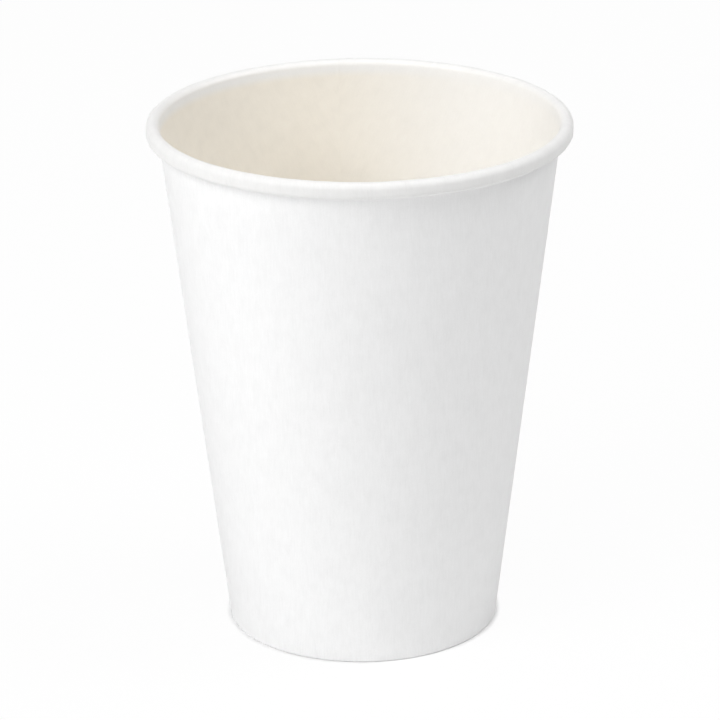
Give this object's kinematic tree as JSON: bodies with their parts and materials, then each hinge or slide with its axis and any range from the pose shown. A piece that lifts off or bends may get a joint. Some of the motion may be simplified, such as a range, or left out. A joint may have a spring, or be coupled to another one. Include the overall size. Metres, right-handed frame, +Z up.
{
  "type": "paper coffee cup",
  "caption": "Tapered single-wall paper cup for hot drinks, with an outward rolled rim, a lapped side seam and a recessed floor held in the folded foot.",
  "frame": {"origin": "centre of the circle that the foot stands on", "axes": "+Z up along the cup's axis, through the middle of the mouth; the side seam lies at the back, near +Y, and -Y faces the viewer"},
  "size_m": [0.09, 0.09, 0.1125],
  "materials": {
    "wall_board": "matt white outside, coated and slightly creamy inside and over the rim",
    "floor_board": "white board, coated on its upper side"
  },
  "bodies": {
    "root": {"side_wall": "wall_board", "bottom_disc": "floor_board"}
  },
  "joints": []
}
